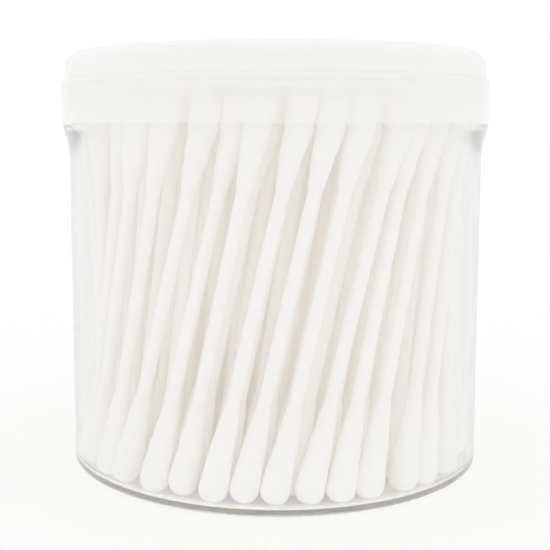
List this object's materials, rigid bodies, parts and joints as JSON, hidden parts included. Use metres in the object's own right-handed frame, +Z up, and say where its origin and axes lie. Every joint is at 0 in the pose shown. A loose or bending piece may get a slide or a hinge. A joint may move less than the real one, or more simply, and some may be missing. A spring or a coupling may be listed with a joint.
{
  "type": "cotton swab tub",
  "caption": "Round clear tub packed with white cotton swabs that stand on end in a twisted sheaf, closed by a white translucent push-on lid that lifts off.",
  "frame": {"origin": "centre of the tub's foot, on the surface that the tub stands on", "axes": "+Z up through the lid; the tub is round, so +X and +Y are free, and the picture looks along +Y"},
  "size_m": [0.085, 0.085, 0.0807],
  "materials": {
    "tub": "clear moulded plastic with smooth glossy faces",
    "lid": "milky white moulded plastic, slightly translucent, satin",
    "stick": "tightly rolled white paper, matt",
    "cotton": "wound white cotton, soft and fibrous"
  },
  "bodies": {
    "tub": {"tub": "tub", "ring_1_lower_buds": "cotton", "ring_1_sticks": "stick", "ring_1_upper_buds": "cotton", "ring_2_lower_buds": "cotton", "ring_2_sticks": "stick", "ring_2_upper_buds": "cotton", "ring_3_lower_buds": "cotton", "ring_3_sticks": "stick", "ring_3_upper_buds": "cotton", "ring_4_lower_buds": "cotton", "ring_4_sticks": "stick", "ring_4_upper_buds": "cotton", "ring_5_lower_buds": "cotton", "ring_5_sticks": "stick", "ring_5_upper_buds": "cotton", "ring_6_lower_buds": "cotton", "ring_6_sticks": "stick", "ring_6_upper_buds": "cotton", "ring_7_lower_buds": "cotton", "ring_7_sticks": "stick", "ring_7_upper_buds": "cotton"},
    "lid": {"lid": "lid"}
  },
  "joints": [
    {"name": "lid_lift", "type": "slide", "parent": "tub", "child": "lid", "axis": [0, 0, 1], "range_m": [0, 0.03]}
  ]
}
